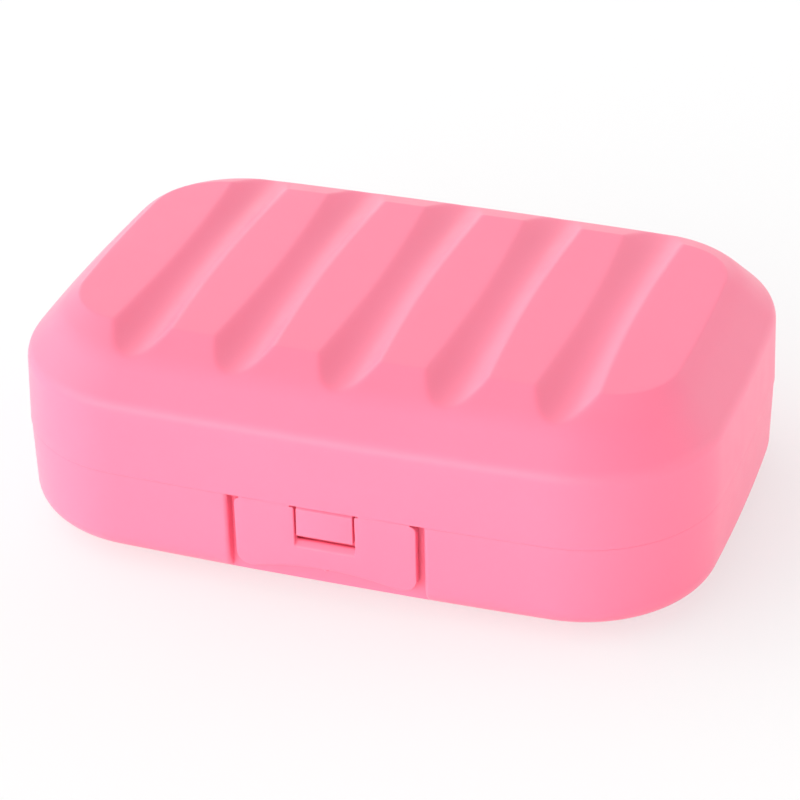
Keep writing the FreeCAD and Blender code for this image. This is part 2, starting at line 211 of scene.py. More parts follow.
class LatchSizes(bpy.types.PropertyGroup):
    """The flap, its window and the catch that stands in it"""
    width: framed("Flap width", FLAP_HIGH.x - FLAP_LOW.x, "Width of the flap")
    top: framed("Flap top", FLAP_HIGH.z, "Height of the flap's upper edge")
    bottom: framed("Flap bottom", FLAP_LOW.z, "Height of the flap's lower corners")
    back: framed("Flap back", FLAP_HIGH.y, "Place of the flap's back face")
    corner_round: size("Corner round", 2.3, "Rounding of the flap's lower corners")
    top_round: size("Top round", 1.0, "Rounding of the flap's upper corners")
    edge_round: size("Edge round", 0.22, "Rounding along the flap's front edge")
    back_round: size("Back round", 0.15, "Rounding along the flap's back edge")
    arch_span: size("Arch span", 23.6, "Width of the finger arch")
    arch_rise: size("Arch rise", 1.45, "Height of the finger arch")
    window_width: size("Window width", 9.9, "Width of the catch window")
    window_depth: size("Window depth", 6.6, "Depth of the catch window below the parting line")
    window_round: size("Window round", 0.35, "Rounding of the window's corners")
    sill_bevel: size("Sill bevel", 0.9, "Bevel on the window's lower edge")
    gate_radius: size("Gate radius", 0.45, "Radius of the moulding gate's nub")
    catch_width: size("Catch width", 9.2, "Width of the catch")
    catch_height: size("Catch height", 5.3, "Height of the catch")
    catch_top_gap: size("Catch top gap", 0.15, "Gap between the catch and the lid")
    catch_nose_inset: size("Catch inset", 0.15, "How far the catch stays behind the wall's face")
    catch_lead_in: size("Catch lead-in", 0.5, "Slope at the top of the catch")
    catch_round: size("Catch round", 0.2, "Rounding of the catch's edges")
    film_waist: size("Film waist", 0.2, "Thickness of the film hinge where it bends")


class HingeSizes(bpy.types.PropertyGroup):
    """The rear hinge's pins, knuckles and ears"""
    pin_radius: framed("Pin radius", (PIN_HIGH.z - PIN_LOW.z) / 2, "Radius of a hinge pin")
    pin_length: framed("Pin length", PIN_HIGH.x - PIN_LOW.x, "Length of a hinge pin")
    pin_round: size("Pin round", 0.25, "Rounding of a pin's ends")
    spacing: framed("Spacing", 2 * PIN_CENTRE.x, "Distance between the two hinge places")
    axis_y: framed("Axis place", PIN_CENTRE.y, "How far back the hinge axis lies")
    knuckle_radius: framed("Knuckle radius", BASE_BACK - PIN_CENTRE.y, "Radius of knuckles and ears")
    knuckle_length: size("Knuckle length", 9.0, "Length of a lid knuckle")
    ear_length: size("Ear length", 4.0, "Length of a base ear")
    ear_gap: size("Ear gap", 0.3, "Gap between a knuckle and the ears beside it")
    bore_clearance: size("Bore clearance", 0.06, "Play of the pin in a knuckle")
    web_reach: size("Web reach", 5.5, "How far a web reaches up or down its wall")
    web_rim_gap: size("Web rim gap", 0.3, "Gap between a web and the parting line")
    edge_round: size("Edge round", 0.25, "Rounding of the knuckles' end edges")


class Finishes(bpy.types.PropertyGroup):
    """Colours and gloss of the plastic and the steel"""
    pink: colour("Pink", (0.99, 0.21, 0.335), "Colour of the moulded plastic")
    pink_deep: colour("Deep pink", (0.985, 0.195, 0.315), "Colour where the melt lies a shade darker")
    gloss_roughness: share("Plastic roughness", 0.36, "Mean roughness of the satin plastic")
    roughness_spread: share("Roughness spread", 0.08, "Change of roughness from place to place")
    flow_size: size("Flow size", 22.0, "Size of the melt's soft colour clouds")
    grain_size: size("Grain size", 0.35, "Size of the mould's fine grain")
    grain_height: size("Grain height", 0.004, "Depth of the mould's fine grain")
    glow: share("Glow", 0.08, "How much light spreads under the plastic's skin")
    glow_reach: size("Glow reach", 2.0, "How far light spreads under the skin")
    steel: colour("Steel", (0.62, 0.62, 0.63), "Colour of the hinge pins")
    steel_roughness: share("Steel roughness", 0.28, "Mean roughness of the drawn steel")
    draw_size: size("Draw marks", 0.12, "Spacing of the drawing marks round a pin")


class Studio(bpy.types.PropertyGroup):
    """Camera, floor and light"""
    azimuth: angle("Azimuth", 19.268, "Camera's turn to the right of the box's front")
    elevation: angle("Elevation", 30.276, "Camera's height over the horizon")
    roll: angle("Roll", -1.019, "Camera's turn about its own line of sight")
    distance: size("Distance", 497.157, "From the aim point to the camera")
    aim_right: size("Aim right", -1.257, "How far the camera is moved to its right")
    aim_up: size("Aim up", 17.418, "How far the camera is moved along its own upright")
    aim_height: size("Aim height", -5.301, "Height of the aim point over the floor")
    lens: plain_number("Lens", 133.75, "Focal length on a 36 mm sensor, in millimetres")
    floor_size: size("Floor size", 4000, "Side of the floor")
    floor_gap: size("Floor gap", 0.02, "How far the floor lies under the box")
    floor_white: colour("Floor", (0.94, 0.94, 0.94), "Colour of the floor")
    floor_lift: share("Floor lift", 0.6, "How far the floor is lifted to white where it is seen")
    sky_level: plain_number("Sky", 0.05, "Brightness of the sky all round")


class SoapBoxSettings(bpy.types.PropertyGroup):
    """Everything about the soap box that a user would change"""
    shell: PointerProperty(type=ShellSizes, name="Shells", description="Outline and walls")
    lid: PointerProperty(type=LidSizes, name="Lid", description="Shoulder, flat top and flutes")
    base: PointerProperty(type=BaseSizes, name="Base", description="Underside, recess and ribs")
    latch: PointerProperty(type=LatchSizes, name="Latch", description="Flap, window and catch")
    hinge: PointerProperty(type=HingeSizes, name="Hinge", description="Pins, knuckles and ears")
    finish: PointerProperty(type=Finishes, name="Finishes", description="Plastic and steel")
    studio: PointerProperty(type=Studio, name="Studio", description="Camera, floor and light")


# Rings: level outlines of eight tangent arcs, and the profiles that run through them

Ring = namedtuple("Ring", "length width corner_radius side_bow end_bow z")
Arcs = namedtuple("Arcs", "side_radius side_y end_radius end_x corner "
                          "start_turn end_turn side_reach end_reach")

# A bend of a profile: its ring, how far its rounding reaches to both sides, the bands of that
# rounding, and the steps from it to the next bend
Bend = namedtuple("Bend", "ring reach bands steps", defaults=(0, 0, 1))


# How far in from a flat's rounded edge its last ring lies, in reaches of that rounding
TOP_MARGIN = 4
FLOOR_MARGIN = 3


def body_ring(shell, inset, z):
    """The box's plan outline, moved in by inset."""
    return Ring(shell.length - 2 * inset, shell.width - 2 * inset, shell.corner_radius - inset,
                shell.side_bow, shell.end_bow, z)


def between(first, second, amount):
    """The ring that lies a share of the way from the first ring to the second."""
    return Ring(*[a + (b - a) * amount for a, b in zip(first, second)])


def towards(ring, other, reach):
    """The ring that lies reach along the front face from one ring to the other."""
    return between(ring, other, reach / math.hypot((other.width - ring.width) / 2, other.z - ring.z))


def eased(before, corner, after, reach, bands):
    """Rings that stand for the corner ring, with the bend there rounded over reach to both sides."""
    if not bands:
        return [corner]
    start = towards(corner, before, reach)
    end = towards(corner, after, reach)
    amounts = [band / bands for band in range(bands + 1)]
    return [between(between(start, corner, t), between(corner, end, t), t) for t in amounts]


def profile(bends):
    """Rings through the bends, each rounded over its reach, with the bend's steps up to the next one."""
    stretches = [[bends[0].ring]]
    for before, bend, after in zip(bends, bends[1:], bends[2:]):
        stretches.append(eased(before.ring, bend.ring, after.ring, bend.reach, bend.bands))
    stretches.append([bends[-1].ring])
    rings = []
    for stretch, following, bend in zip(stretches, stretches[1:], bends):
        steps = [between(stretch[-1], following[0], step / bend.steps) for step in range(1, bend.steps)]
        rings += stretch + steps
    return rings + stretches[-1]


def wall_shift(wall, inner_slope, outer_slope):
    """How far in, and how far towards the room, an outside edge's twin lies on the inside of a wall."""
    reach = wall / math.cos((outer_slope - inner_slope) / 2)
    bisector = (inner_slope + outer_slope) / 2
    return reach * math.sin(bisector), reach * math.cos(bisector)


def arcs_of(ring):
    """The ring's arcs: radii, the places of their centres, and where the corner starts and ends."""
    half_length = ring.length / 2
    half_width = ring.width / 2
    side_radius = (half_length ** 2 + ring.side_bow ** 2) / (2 * ring.side_bow)
    end_radius = (half_width ** 2 + ring.end_bow ** 2) / (2 * ring.end_bow)
    side_centre = Vector((0, half_width - side_radius))
    end_centre = Vector((half_length - end_radius, 0))

    # The corner's centre lies where the two sides, moved in by the corner radius, cross
    line = end_centre - side_centre
    to_corner = side_radius - ring.corner_radius
    from_end = end_radius - ring.corner_radius
    along = (to_corner ** 2 - from_end ** 2 + line.length ** 2) / (2 * line.length)
    across = math.sqrt(to_corner ** 2 - along ** 2)
    direction = line.normalized()
    corner = side_centre + direction * along + Vector((direction.y, -direction.x)) * across
    to_side = (corner - side_centre).normalized()
    to_end = (corner - end_centre).normalized()
    return Arcs(side_radius, side_centre.y, end_radius, end_centre.x, corner,
                math.atan2(to_end.y, to_end.x), math.atan2(to_side.y, to_side.x),
                to_side.x * side_radius, to_end.y * end_radius)


def loop(ring, side_places):
    """The ring's points: front from left to right, right end, back from right to left, left end.

    side_places gives the x of each point on the long sides for the reach of those sides.
    """
    arcs = arcs_of(ring)
    turn = np.linspace(arcs.start_turn, arcs.end_turn, CORNER_STEPS + 1)
    corner = np.array(arcs.corner) + ring.corner_radius * np.column_stack((np.cos(turn), np.sin(turn)))
    x = side_places(arcs.side_reach)
    side = np.column_stack((x, arcs.side_y + np.sqrt(arcs.side_radius ** 2 - x ** 2)))
    back = np.vstack((corner[:-1] * (-1, 1), side, corner[-2::-1]))
    y = np.linspace(-arcs.end_reach, arcs.end_reach, END_STEPS + 1)[1:-1]
    end = np.column_stack((arcs.end_x + np.sqrt(arcs.end_radius ** 2 - y ** 2), y))
    flat = np.vstack((back * (1, -1), end, back[::-1], (end * (-1, 1))[::-1]))
    return np.column_stack((flat, np.full(len(flat), ring.z)))


# Meshes

def quads(first, second):
    """Faces between two loops of vertex numbers."""
    return np.column_stack((first, np.roll(first, -1), np.roll(second, -1), second))


def band_faces(numbers):
    """Faces between each loop of vertex numbers and the next."""
    return np.vstack([quads(first, second) for first, second in zip(numbers, numbers[1:])])


def cap(boundary, points, start):
    """A grid that closes a loop: its new points, and its faces, which look up."""
    across = END_STEPS
    along = len(boundary) // 2 - across
    right = along + across
    front = boundary[:along + 1]
    back = boundary[right:right + along + 1][::-1]
    grid = np.zeros((along + 1, across + 1), int)
    grid[:, 0] = front
    grid[:, across] = back
    grid[along, 1:across] = boundary[along + 1:right]
    grid[0, 1:across] = boundary[right + along + 1:][::-1]
    grid[1:along, 1:across] = start + np.arange((along - 1) * (across - 1)).reshape(along - 1, across - 1)
    amounts = np.linspace(0, 1, across + 1)[1:-1, None]
    inner = [points[f] + (points[b] - points[f]) * amounts for f, b in zip(front[1:-1], back[1:-1])]
    faces = np.stack((grid[:-1, :-1], grid[1:, :-1], grid[1:, 1:], grid[:-1, 1:]), axis=-1)
    return np.vstack(inner), faces.reshape(-1, 4)


def shell_arrays(rows):
    """Points and faces of a closed shell through the rows, whose first loop looks down and last looks up.

    Also gives each point's row, with the points of a cap counted to its loop.
    """
    count = len(rows[0])
    points = np.vstack(rows)
    numbers = np.arange(len(points)).reshape(len(rows), count)
    low_points, low_faces = cap(numbers[0], points, len(points))
    high_points, high_faces = cap(numbers[-1], points, len(points) + len(low_points))
    row_of = np.concatenate((np.repeat(np.arange(len(rows)), count),
                             np.zeros(len(low_points), int),
                             np.full(len(high_points), len(rows) - 1)))
    all_points = np.vstack((points, low_points, high_points))
    all_faces = np.vstack((band_faces(numbers), low_faces[:, ::-1], high_faces))
    return all_points, all_faces, row_of


def mesh_from(name, points, faces):
    """A mesh from points and from faces given as vertex numbers."""
    mesh = bpy.data.meshes.new(name)
    mesh.from_pydata([tuple(p) for p in points], [], [tuple(int(v) for v in f) for f in faces])
    mesh.validate()
    return mesh


def smoothed(mesh):
    """The mesh, shaded smooth except at its sharp edges."""
    mesh.shade_smooth()
    mesh.set_sharp_from_angle(angle=math.radians(SHARP_DEGREES))
    return mesh


def rounded_outline(corners):
    """A closed outline from (a, b, radius) corners, each corner an arc of its radius."""
    points = []
    count = len(corners)
    for index, (a, b, radius) in enumerate(corners):
        here = Vector((a, b))
        if not radius:
            points.append(here)
            continue
        to_last = (Vector(corners[index - 1][:2]) - here).normalized()
        to_next = (Vector(corners[(index + 1) % count][:2]) - here).normalized()
        half = to_last.angle(to_next) / 2
        centre = here + (to_last + to_next).normalized() * radius / math.sin(half)
        start = here + to_last * radius / math.tan(half) - centre
        end = here + to_next * radius / math.tan(half) - centre
        sweep = start.angle_signed(end)
        for step in range(ARC_STEPS + 1):
            points.append(centre + Matrix.Rotation(-sweep * step / ARC_STEPS, 2) @ start)
    return points


def circle(centre, radius):
    """A closed round outline."""
    turns = [2 * math.pi * step / CIRCLE_STEPS for step in range(CIRCLE_STEPS)]
    return [Vector((centre[0] + radius * math.cos(t), centre[1] + radius * math.sin(t))) for t in turns]


def add_bar(work, outline, low_x, high_x, edge_round, bore=()):
    """Add a closed bar along X to a bmesh: a (y, z) outline, an optional bore and rounded end edges."""
    loops = [outline] + ([bore] if bore else [])
    triangles = tessellate_polygon([[Vector((0, p.x, p.y)) for p in points] for points in loops])
    flat = [p for points in loops for p in points]
    low = [work.verts.new((low_x, p.x, p.y)) for p in flat]
    high = [work.verts.new((high_x, p.x, p.y)) for p in flat]
    faces = [work.faces.new([ends[v] for v in triangle]) for ends in (low, high) for triangle in triangles]
    start = 0
    rims = []
    for points in loops:
        ring = list(range(start, start + len(points)))
        for a, b in zip(ring, ring[1:] + ring[:1]):
            faces.append(work.faces.new((low[a], low[b], high[b], high[a])))
            rims += [work.edges.get((low[a], low[b])), work.edges.get((high[a], high[b]))]
        start += len(points)
    bmesh.ops.recalc_face_normals(work, faces=faces)
    bmesh.ops.bevel(work, geom=rims, offset=edge_round, segments=BEVEL_STEPS, profile=ROUND_PROFILE,
                    affect="EDGES")


def mesh_of(work, name):
    """A mesh with what a bmesh holds; the bmesh is freed."""
    mesh = bpy.data.meshes.new(name)
    work.to_mesh(mesh)
    work.free()
    return mesh


def row_tree():
    """A node tree that sets copies of a piece's own mesh in a straight row."""
    tree = bpy.data.node_groups.get("Row of copies")
    if tree:
        return tree
    tree = bpy.data.node_groups.new("Row of copies", "GeometryNodeTree")
    sockets = (("Shape", "Geometry"), ("Count", "Int"), ("First place", "Vector"), ("Step", "Vector"),
               ("Finish", "Material"))
    for name, kind in sockets:
        tree.interface.new_socket(name, in_out="INPUT", socket_type="NodeSocket" + kind)
    tree.interface.new_socket("Copies", in_out="OUTPUT", socket_type="NodeSocketGeometry")
    given = tree.nodes.new("NodeGroupInput")
    line = tree.nodes.new("GeometryNodeMeshLine")
    line.mode = "OFFSET"
    place = tree.nodes.new("GeometryNodeInstanceOnPoints")
    realize = tree.nodes.new("GeometryNodeRealizeInstances")
    finish = tree.nodes.new("GeometryNodeSetMaterial")
    result = tree.nodes.new("NodeGroupOutput")
    links = (
        (given.outputs["Count"], line.inputs["Count"]),
        (given.outputs["First place"], line.inputs["Start Location"]),
        (given.outputs["Step"], line.inputs["Offset"]),
        (line.outputs["Mesh"], place.inputs["Points"]),
        (given.outputs["Shape"], place.inputs["Instance"]),
        (place.outputs["Instances"], realize.inputs["Geometry"]),
        (realize.outputs["Geometry"], finish.inputs["Geometry"]),
        (given.outputs["Finish"], finish.inputs["Material"]),
        (finish.outputs["Geometry"], result.inputs["Copies"]),
    )
    for start, end in links:
        tree.links.new(start, end)
    return tree


def row_of_copies(mesh, count, spacing, material):
    """The mesh repeated count times along X, centred on the box, as one plain mesh."""
    tree = row_tree()
    maker = bpy.data.objects.new(mesh.name + "_row", mesh)
    bpy.context.scene.collection.objects.link(maker)
    modifier = maker.modifiers.new("Row", "NODES")
    modifier.node_group = tree
    values = {"Count": count, "First place": (-spacing * (count - 1) / 2, 0, 0), "Step": (spacing, 0, 0),
              "Finish": material}
    for name, value in values.items():
        modifier[tree.interface.items_tree[name].identifier] = value
    bpy.context.view_layer.update()
    graph = bpy.context.evaluated_depsgraph_get()
    plain = bpy.data.meshes.new_from_object(maker.evaluated_get(graph))
    plain.name = mesh.name
    maker.modifiers.remove(modifier)
    bpy.data.objects.remove(maker)
    return plain


def add_piece(name, mesh, material, body=None, nodes=()):
    """Put a mesh in the scene as a piece that rides on a body and stands for CAD nodes."""
    piece = bpy.data.objects.new(name, mesh)
    bpy.context.scene.collection.objects.link(piece)
    mesh.materials.clear()
    mesh.materials.append(material)
    if body:
        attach(piece, body)
    if nodes:
        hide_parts(*nodes)
    return piece


# Finishes

# How the patterns in the plastic, the steel and the floor are made
CLOUD_DETAIL = 2.0
GRAIN_DETAIL = 3.0
MARK_DETAIL = 4.0
MOTTLE_FINENESS = 5
MOTTLE_SHARE = 0.6
PLASTIC_IOR = 1.5
GLOW_BY_COLOUR = (1.0, 0.35, 0.3)
MARK_STRETCH = (0.03, 1.0, 1.0)
MARK_SHADE = 0.8
MARK_ROUGHNESS = 0.08
FLOOR_GRAIN_SCALE = 40.0
FLOOR_ROUGHNESS = 0.8
FLOOR_ROUGHNESS_SPREAD = 0.05

# A colour Mix node's sockets, by number, since several share a name
MIX_FACTOR = 0
MIX_FIRST = 6
MIX_SECOND = 7
MIX_RESULT = 2


class Wire:
    """A node's output that can stand in sums: each operator adds the Math node that it needs."""

    def __init__(self, tree, socket=None):
        self.tree = tree
        self.socket = socket

    def node(self, kind, settings=None, values=None, output=0):
        """Add a node: its settings are set first, then its sockets' values or links."""
        made = self.tree.nodes.new(kind)
        for name, value in (settings or {}).items():
            setattr(made, name, value)
        for key, value in (values or {}).items():
            socket = made.inputs[key]
            if isinstance(value, Wire):
                self.tree.links.new(value.socket, socket)
            else:
                socket.default_value = value
        return Wire(self.tree, made.outputs[output])

    def math(self, operation, *values):
        return self.node("ShaderNodeMath", {"operation": operation}, dict(enumerate(values)))

    def __add__(self, other):
        return self.math("ADD", self, other)

    def __radd__(self, other):
        return self.math("ADD", other, self)

    def __sub__(self, other):
        return self.math("SUBTRACT", self, other)

    def __rsub__(self, other):
        return self.math("SUBTRACT", other, self)

    def __mul__(self, other):
        return self.math("MULTIPLY", self, other)

    def __rmul__(self, other):
        return self.math("MULTIPLY", other, self)

    def __pow__(self, other):
        return self.math("POWER", self, other)

    def noise(self, vector, scale, detail):
        """Noise about zero, from -1 to 1."""
        values = {"Vector": vector, "Scale": scale, "Detail": detail}
        return self.node("ShaderNodeTexNoise", {"noise_dimensions": "3D"}, values) * 2 - 1

    def tint(self, first, second):
        """A colour between two, for a wire that runs from -1 to 1."""
        values = {MIX_FACTOR: self * 0.5 + 0.5, MIX_FIRST: (*first, 1), MIX_SECOND: (*second, 1)}
        return self.node("ShaderNodeMix", {"data_type": "RGBA"}, values, output=MIX_RESULT)


def new_material(name):
    """A material with its Principled shader and a wire to build its pattern from."""
    material = bpy.data.materials.new(name)
    material.use_nodes = True
    return material, material.node_tree.nodes["Principled BSDF"], Wire(material.node_tree)


def link(wire, socket):
    """Lead a wire into a socket."""
    wire.tree.links.new(wire.socket, socket)


def satin_plastic(finish):
    """Moulded satin plastic: soft clouds of colour, a fine grain and a little light under the skin."""
    material = bpy.data.materials.get("satin_pink_plastic")
    if material:
        return material
    material, shader, wire = new_material("satin_pink_plastic")
    place = wire.node("ShaderNodeTexCoord", output="Object")
    clouds = wire.noise(place, 1 / finish.flow_size, CLOUD_DETAIL)
    grain = wire.noise(place, 1 / finish.grain_size, GRAIN_DETAIL)
    mottle = wire.noise(place, MOTTLE_FINENESS / finish.flow_size, GRAIN_DETAIL)
    link(clouds.tint(finish.pink, finish.pink_deep), shader.inputs["Base Color"])
    unevenness = MOTTLE_SHARE * mottle + (1 - MOTTLE_SHARE) * grain
    link(finish.gloss_roughness + finish.roughness_spread * unevenness, shader.inputs["Roughness"])
    relief = {"Height": grain, "Distance": finish.grain_height, "Strength": 1.0}
    link(wire.node("ShaderNodeBump", None, relief), shader.inputs["Normal"])
    shader.inputs["IOR"].default_value = PLASTIC_IOR
    shader.inputs["Subsurface Weight"].default_value = finish.glow
    shader.inputs["Subsurface Radius"].default_value = GLOW_BY_COLOUR
    shader.inputs["Subsurface Scale"].default_value = finish.glow_reach
    return material


def drawn_steel(finish):
    """Drawn pin wire: fine marks along its length."""
    material = bpy.data.materials.get("drawn_steel")
    if material:
        return material
    material, shader, wire = new_material("drawn_steel")
    place = wire.node("ShaderNodeTexCoord", output="Object")
    stretch = wire.node("ShaderNodeMapping", None, {"Vector": place, "Scale": MARK_STRETCH})
    marks = wire.noise(stretch, 1 / finish.draw_size, MARK_DETAIL)
    shaded = [v * MARK_SHADE for v in finish.steel]
    link(marks.tint(finish.steel, shaded), shader.inputs["Base Color"])
    link(finish.steel_roughness + MARK_ROUGHNESS * marks, shader.inputs["Roughness"])
    shader.inputs["Metallic"].default_value = 1.0
    return material


# Lid

def lid_rings(box):
    """The lid's rings from the room's ceiling down the inside, round the rim and up the outside."""
    shell, lid = box.shell, box.lid
    crease_z = lid.top - lid.shoulder_rise
    brow_z = lid.top - lid.brow_drop
    shelf_z = shell.parting + shell.lip_height + shell.lip_headroom

    def brow(inset, z):
        return Ring(shell.length - 2 * (lid.crease_inset + lid.brow_end_run + inset),
                    shell.width - 2 * (lid.crease_inset + lid.brow_side_run + inset),
                    lid.brow_corner_radius - inset, lid.brow_side_bow, lid.brow_end_bow, z)

    def plateau(inset, z):
        return Ring(shell.length - 2 * (lid.crease_inset + lid.plateau_end_run + inset),
                    shell.width - 2 * (lid.crease_inset + lid.plateau_side_run + inset),
                    lid.plateau_corner_radius - inset, lid.plateau_side_bow, lid.plateau_end_bow, z)

    steep = math.atan2(brow_z - crease_z, lid.brow_side_run)
    gentle = math.atan2(lid.brow_drop, lid.plateau_side_run - lid.brow_side_run)
    crease_in, crease_down = wall_shift(shell.wall, steep, math.pi / 2)
    brow_in, brow_down = wall_shift(shell.wall, gentle, steep)
    plateau_in, plateau_down = wall_shift(shell.wall, 0, gentle)
    inner_ease = lid.crease_ease / 2
    rim_in = body_ring(shell, shell.rim_skin, shell.parting)
    rim_out = body_ring(shell, 0, shell.parting)
    inside = profile([
        Bend(plateau(plateau_in, lid.top - plateau_down), steps=7),
        Bend(brow(brow_in, brow_z - brow_down), inner_ease, bands=4, steps=5),
        Bend(body_ring(shell, lid.crease_inset + crease_in, crease_z - crease_down),
             inner_ease, bands=4, steps=4),
        Bend(body_ring(shell, shell.wall, shelf_z)),
        Bend(body_ring(shell, shell.rim_skin, shelf_z), steps=2),
        Bend(rim_in, shell.rim_round / 2, bands=2),
        Bend(rim_out),
    ])[:-1]
    outside = profile([
        Bend(rim_in),
        Bend(rim_out, shell.rim_round / 2, bands=4, steps=6),
        Bend(body_ring(shell, lid.crease_inset, crease_z), lid.crease_ease, bands=12, steps=7),
        Bend(brow(0, brow_z), lid.brow_ease, bands=12, steps=10),
        Bend(plateau(0, lid.top), lid.plateau_ease, bands=6, steps=3),
        Bend(plateau(TOP_MARGIN * lid.plateau_ease, lid.top)),
    ])[1:]
    return inside, outside


def soft_minimum(first, second, blend):
    """The lower of two heights, with the step from one to the other rounded over blend."""
    amount = np.clip(0.5 + 0.5 * (second - first) / blend, 0, 1)
    return second + (first - second) * amount - blend * amount * (1 - amount)


def flute(points, box, backing):
    """Lower the points where a flute runs; backing is how far under the flute's own surface they lie."""
    shell, lid = box.shell, box.lid
    brow_y = shell.width / 2 - lid.crease_inset - lid.brow_side_run
    plateau_length = shell.length - 2 * (lid.crease_inset + lid.plateau_end_run)
    places = np.linspace(-1, 1, lid.flute_count) * (plateau_length / 2 - lid.flute_end_margin)
    x, y, z = points.T
    depth = lid.flute_middle_depth + (lid.flute_brow_depth - lid.flute_middle_depth) * (y / brow_y) ** 2
    offset = np.abs(x[:, None] - places).min(axis=1)
    radius = lid.flute_radius + backing
    near = offset < radius
    channel = np.full(len(z), np.inf)
    channel[near] = (lid.top - depth + lid.flute_radius)[near] - np.sqrt((radius ** 2 - offset ** 2)[near])
    lowered = points.copy()
    lowered[near, 2] = soft_minimum(z[near], channel[near], lid.flute_lip_blend)
    return lowered


class SOAPBOX_OT_lid(bpy.types.Operator):
    """Make the fluted lid shell"""
    bl_idname = "soapbox.lid"
    bl_label = "Lid"

    def execute(self, context):
        box = context.scene.soap_box
        shares = np.linspace(-1, 1, LID_SIDE_STEPS + 1)
        inside, outside = lid_rings(box)
        rows = [loop(ring, lambda reach: reach * shares) for ring in inside + outside]
        points, faces, row_of = shell_arrays(rows)
        backing = np.where(row_of < len(inside), box.shell.wall, 0)
        points = flute(points, box, backing)
        mesh = smoothed(mesh_from("lid", points, faces))
        add_piece("lid", mesh, satin_plastic(box.finish), "lid", ["lid_shell"])
        return {"FINISHED"}


# Base

def base_rings(box):
    """The base's rings up the outside, over the lip and down the inside, as three lists."""
    shell, base = box.shell, box.base
    draft = (shell.parting - base.knee_height) * math.tan(base.draft)
    slope = math.atan2(base.knee_height, base.bevel_run)
    knee_in, knee_up = wall_shift(shell.wall, slope, math.pi / 2)
    floor_in, floor_up = wall_shift(shell.wall, 0, slope)
    foot = base.step + draft + base.bevel_run
    margin = FLOOR_MARGIN * base.bottom_ease
    lip_top = shell.parting + shell.lip_height
    rim = body_ring(shell, base.step, shell.parting)
    lip_root = body_ring(shell, base.step + shell.lip_inset, shell.parting)
    lip_out = body_ring(shell, base.step + shell.lip_inset, lip_top)
    lip_in = body_ring(shell, base.step + shell.wall, lip_top)
    outside = profile([
        Bend(body_ring(shell, foot + margin, 0), steps=2),
        Bend(body_ring(shell, foot, 0), base.bottom_ease, bands=6, steps=8),
        Bend(body_ring(shell, base.step + draft, base.knee_height), base.knee_ease, bands=14, steps=10),
        Bend(rim, shell.rim_round, bands=5),
        Bend(lip_root),
    ])[:-1]
    lip = profile([
        Bend(lip_root, steps=2),
        Bend(lip_out, shell.rim_round / 2, bands=3),
        Bend(lip_in),
    ])[:-1]
    inside = profile([
        Bend(lip_out),
        Bend(lip_in, shell.rim_round / 2, bands=3, steps=2),
        Bend(body_ring(shell, base.step + shell.wall, shell.parting), steps=6),
        Bend(body_ring(shell, base.step + draft + knee_in, base.knee_height + knee_up),
             base.knee_ease / 2, bands=6, steps=6),
        Bend(body_ring(shell, foot + floor_in, floor_up), base.bottom_ease / 2, bands=4, steps=2),
        Bend(body_ring(shell, foot + floor_in + margin, floor_up)),
    ])[1:]
    return outside, lip, inside


def recess_columns(base):
    """Offsets from the recess's edge and depths of the points that turn into it, from its back out."""
    turns = np.linspace(math.pi / 2, 0, ARC_STEPS + 1)
    depths = np.linspace(base.recess_depth, base.slot_round, ARC_STEPS)[:-1]
    leans = -base.slot_lean * (depths - base.slot_round) / (base.recess_depth - base.slot_round)
    offsets = np.concatenate((leans, base.slot_round * (1 - np.sin(turns))))
    return offsets, np.concatenate((depths, base.slot_round * (1 - np.cos(turns))))


def recess_sides(box, edge):
    """Where the points of the long sides stand, for a recess edge at that x, and how deep they may lie."""
    offsets, depths = recess_columns(box.base)
    flat_shares = np.linspace(0, 1, RECESS_POINTS)[:-1]
    outer_shares = np.linspace(0, 1, OUTER_SIDE_POINTS)[1:]

    def places(reach):
        first = edge + offsets[0]
        last = edge + offsets[-1]
        half = np.concatenate((flat_shares * first, edge + offsets, last + outer_shares * (reach - last)))
        return np.concatenate((-half[:0:-1], half))

    half_depths = np.concatenate((np.full(len(flat_shares), np.inf), depths, np.zeros(len(outer_shares))))
    return places, np.concatenate((half_depths[:0:-1], half_depths))


def recessed_loop(ring, box, set_back):
    """A ring of the base, pushed back at the latch by the recess.

    set_back moves the recess's face and edges further in.
    """
    edge = box.latch.width / 2 + box.base.slot_gap + set_back
    face_y = -box.shell.width / 2 + box.base.recess_depth + set_back
    places, depths = recess_sides(box, edge)
    points = loop(ring, places)
    front = slice(CORNER_STEPS, CORNER_STEPS + len(depths))
    y = points[front, 1]
    points[front, 1] = np.minimum(y + depths, np.maximum(y, face_y))
    return points


def add_catch(work, box):
    """Add the catch: a wedge with a sloping top, rooted in the recess's back wall."""
    shell, latch = box.shell, box.latch
    root_y = -shell.width / 2 + box.base.recess_depth + shell.wall / 2
    nose_y = -shell.width / 2 + box.base.step + latch.catch_nose_inset
    top = shell.parting - latch.catch_top_gap
    corners = [
        (root_y, top, 0),
        (nose_y + latch.catch_lead_in, top, latch.catch_round),
        (nose_y, top - latch.catch_lead_in, latch.catch_round),
        (nose_y, top - latch.catch_height, latch.catch_round),
        (root_y, top - latch.catch_height, 0),
    ]
    half = latch.catch_width / 2
    add_bar(work, rounded_outline(corners), -half, half, latch.catch_round / 2)


